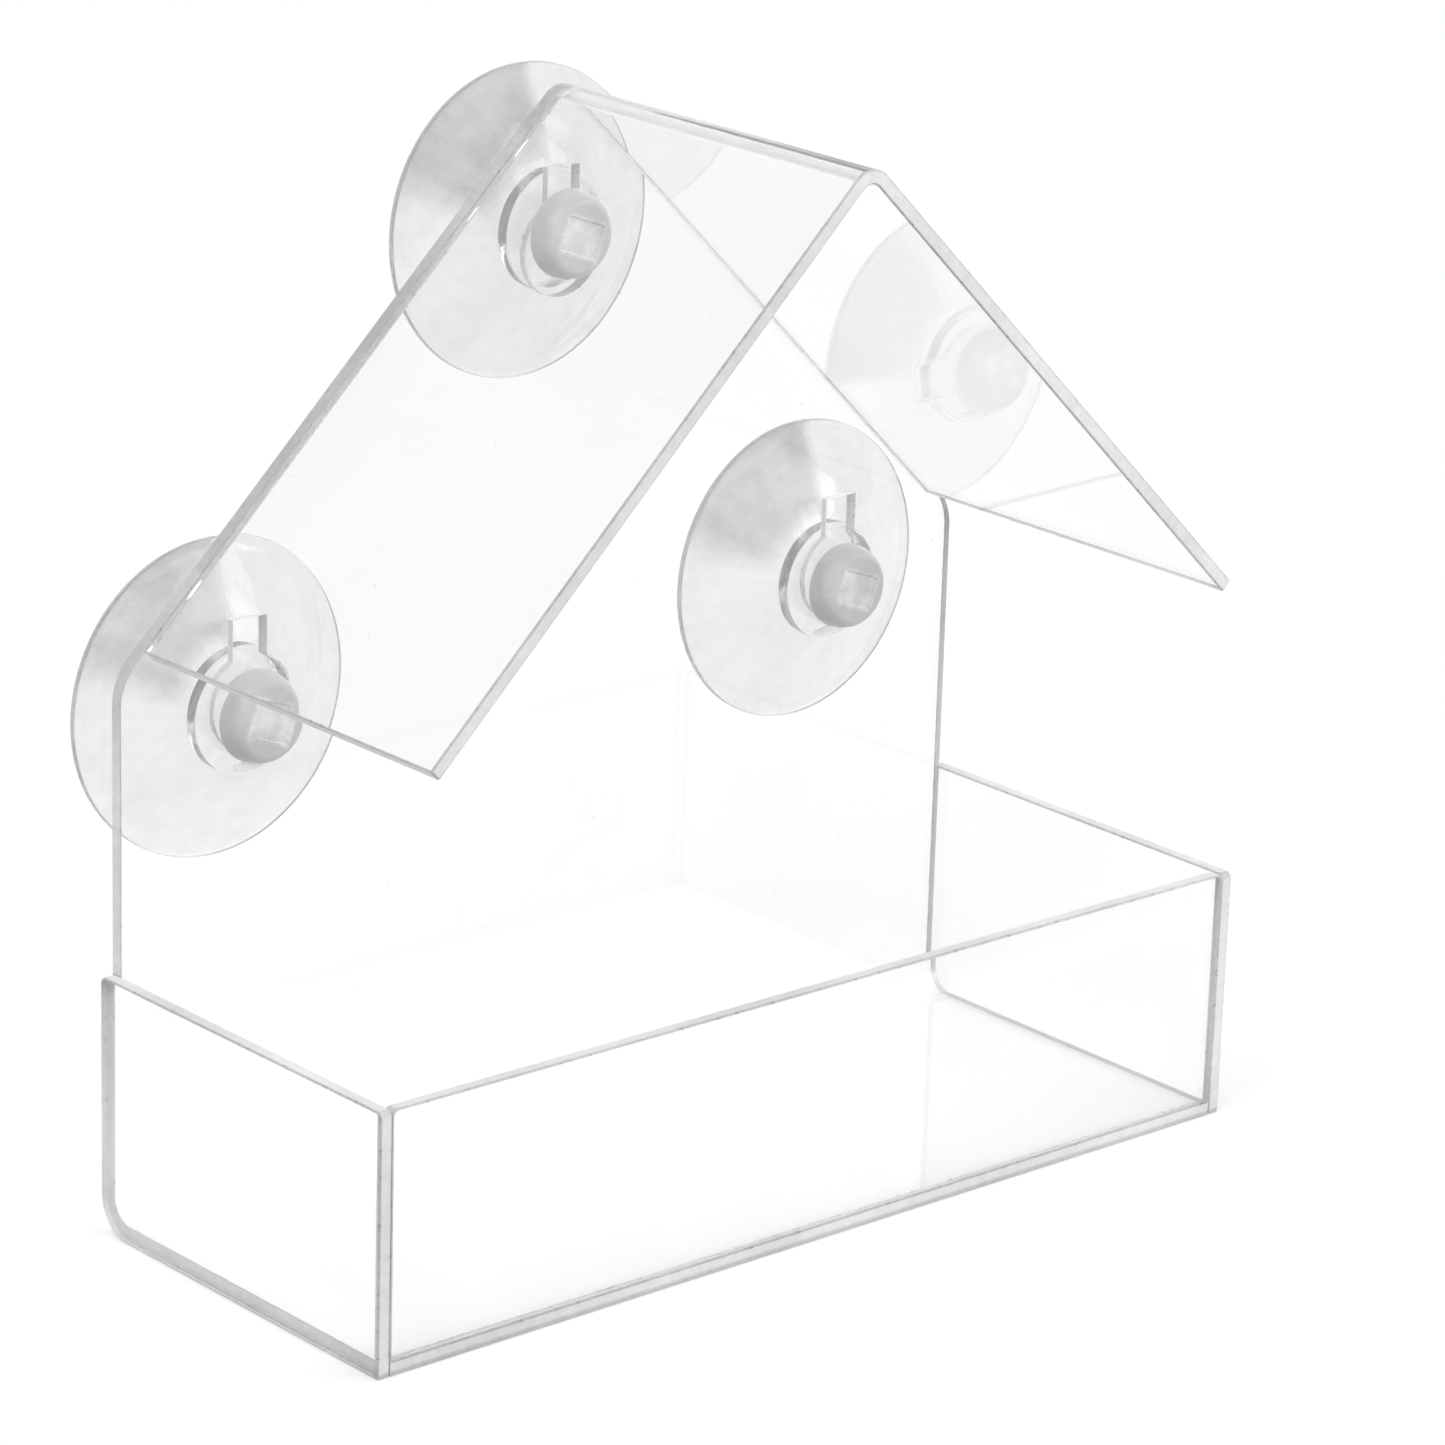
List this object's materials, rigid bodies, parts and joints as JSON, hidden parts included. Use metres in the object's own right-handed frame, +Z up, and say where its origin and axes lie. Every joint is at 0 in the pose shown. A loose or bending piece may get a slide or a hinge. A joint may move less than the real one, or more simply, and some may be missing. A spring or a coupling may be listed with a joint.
{
  "type": "window bird feeder",
  "caption": "Clear acrylic window bird feeder: an open seed tray under a gable roof, with suction cups in keyholes through its back panel.",
  "frame": {"origin": "under the middle of the whole feeder, on the plane that the tray's floor stands on", "axes": "+X across the window to the right as seen from the garden, +Y towards the window glass, +Z up"},
  "size_m": [0.154, 0.0724, 0.1513],
  "materials": {
    "clear_acrylic": "clear cast sheet, polished faces, satin sawn edges",
    "clear_pvc": "clear soft moulding, slightly cloudy"
  },
  "bodies": {
    "house": {"back_and_floor_panel": "clear_acrylic", "front_wall": "clear_acrylic", "left_end_plate": "clear_acrylic", "right_end_plate": "clear_acrylic", "roof": "clear_acrylic"},
    "top_cup": {"suction_cup_top": "clear_pvc"},
    "left_cup": {"suction_cup_left": "clear_pvc"},
    "right_cup": {"suction_cup_right": "clear_pvc"}
  },
  "joints": [
    {"name": "top_cup_slide", "type": "slide", "parent": "house", "child": "top_cup", "axis": [0, 0, 1], "range_m": [-0.0063, 0.0065]},
    {"name": "left_cup_slide", "type": "slide", "parent": "house", "child": "left_cup", "axis": [0, 0, 1], "range_m": [-0.0024, 0.0104]},
    {"name": "right_cup_slide", "type": "slide", "parent": "house", "child": "right_cup", "axis": [0, 0, 1], "range_m": [-0.0024, 0.0104]}
  ]
}
